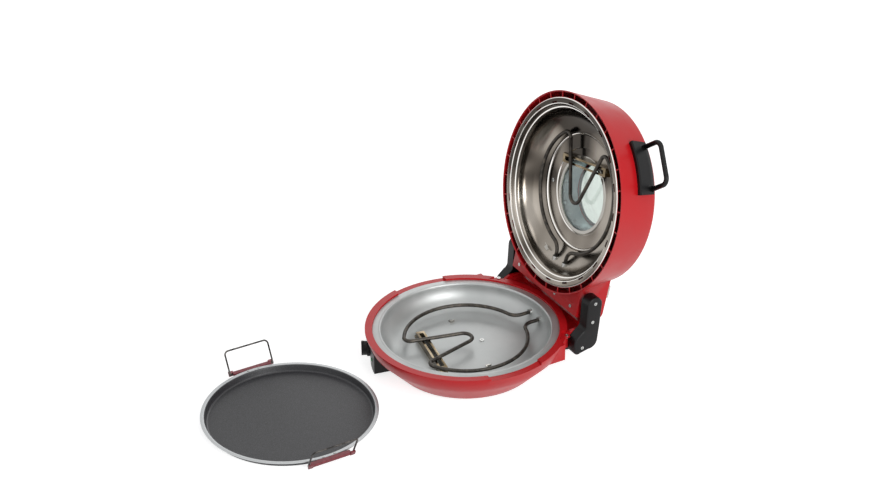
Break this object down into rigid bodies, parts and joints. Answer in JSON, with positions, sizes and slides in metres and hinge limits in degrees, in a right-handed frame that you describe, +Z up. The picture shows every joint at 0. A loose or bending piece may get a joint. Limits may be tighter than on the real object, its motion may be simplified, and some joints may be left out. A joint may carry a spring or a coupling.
{
  "type": "electric pizza maker",
  "caption": "Round countertop cooker with a deep hinged lid, a window, an upper and a lower tube heater and a lift-out baking tray with folding wire bails.",
  "frame": {"origin": "on the table, under the centre of the round cooking bowl", "axes": "+X to the right, +Y towards the hinge at the back, +Z up; the part is mirror-symmetric about X = 0 but for the handle, the controls, the inlet, the clips and the support bars"},
  "size_m": [0.3573, 0.7891, 0.4504],
  "materials": {
    "red_enamel": "gloss",
    "ear_enamel": "satin",
    "black_steel": "matte",
    "satin_liner": "satin",
    "bright_liner": "polished",
    "bright_steel": "polished",
    "tinted_steel": "satin",
    "blue_grey_steel": "satin",
    "plate_steel": "satin",
    "screw_steel": "satin",
    "heater_tube": "satin",
    "brass": "satin",
    "rubber": "matte",
    "black_plastic": "satin",
    "pale_plastic": "satin",
    "red_lamp": "gloss",
    "green_lamp": "gloss",
    "ceramic": "satin",
    "wire_cover": "satin",
    "window_glass": "clear",
    "tray_coat": "satin",
    "dark_wire": "satin"
  },
  "bodies": {
    "base": {"base_shell": "red_enamel", "bottom_plate": "black_steel", "bottom_screws": "screw_steel", "rubber_feet": "rubber", "rear_stand": "black_plastic", "rear_feet": "rubber", "base_liner": "satin_liner", "liner_floor_screw": "screw_steel", "lower_element": "heater_tube", "lower_bushes": "screw_steel", "lower_clips": "bright_steel", "lower_support_bar": "tinted_steel", "lower_bar_screws": "screw_steel", "terminal_block": "ceramic", "thermostat": "screw_steel", "thermal_fuse": "screw_steel", "base_wires": "wire_cover", "power_inlet": "black_plastic", "inlet_pins": "brass", "control_housing": "black_plastic", "regulator": "ceramic", "lamp_red": "red_lamp", "lamp_green": "green_lamp", "ledge_screws": "screw_steel", "lid_stops": "rubber", "hinge_plate_left": "plate_steel", "hinge_plate_right": "plate_steel", "hinge_plate_bolts": "screw_steel", "hinge_pins": "plate_steel", "arm_cover_left": "black_plastic", "arm_cover_right": "black_plastic", "arm_screws": "screw_steel"},
    "lid": {"lid_shell": "red_enamel", "lid_liner": "bright_liner", "liner_screws": "screw_steel", "liner_clip": "bright_steel", "upper_element": "heater_tube", "upper_bushes": "screw_steel", "upper_support_bar": "tinted_steel", "upper_bar_screws": "screw_steel", "window_ring": "bright_steel", "inner_glass": "window_glass", "window_tunnel": "blue_grey_steel", "outer_glass": "window_glass", "outer_bezel": "black_plastic", "lid_hinge_bushes": "brass", "lid_wires": "wire_cover", "handle_mount": "black_plastic", "handle_bow": "black_plastic", "handle_screws": "screw_steel", "lid_rear_pads": "pale_plastic", "panel_screws": "screw_steel"},
    "dial": {"control_dial": "black_plastic", "dial_shaft": "plate_steel"},
    "tray": {"baking_tray": "tray_coat", "tray_ears": "ear_enamel", "tray_rivets": "screw_steel"},
    "bail_left": {"bail_left": "dark_wire"},
    "bail_right": {"bail_right": "dark_wire"}
  },
  "joints": [
    {"name": "lid_hinge", "type": "hinge", "parent": "base", "child": "lid", "pos_m": [0, 0.1756, 0.1028], "axis": [1, 0, 0], "range_deg": [0, 102.65]},
    {"name": "dial_turn", "type": "hinge", "parent": "base", "child": "dial", "pos_m": [-0.083, -0.14376, 0.028], "axis": [0.5, 0.866, 0], "range_deg": [0, 240]},
    {"name": "tray_lift", "type": "slide", "parent": "base", "child": "tray", "axis": [0, 0, 1], "range_m": [0, 0.15]},
    {"name": "bail_left_hinge", "type": "hinge", "parent": "tray", "child": "bail_left", "pos_m": [-0.1523, -0.338, 0.0105], "axis": [0, 1, 0], "range_deg": [0, 85]},
    {"name": "bail_right_hinge", "type": "hinge", "parent": "tray", "child": "bail_right", "pos_m": [0.1523, -0.338, 0.0105], "axis": [0, -1, 0], "range_deg": [0, 85]}
  ]
}
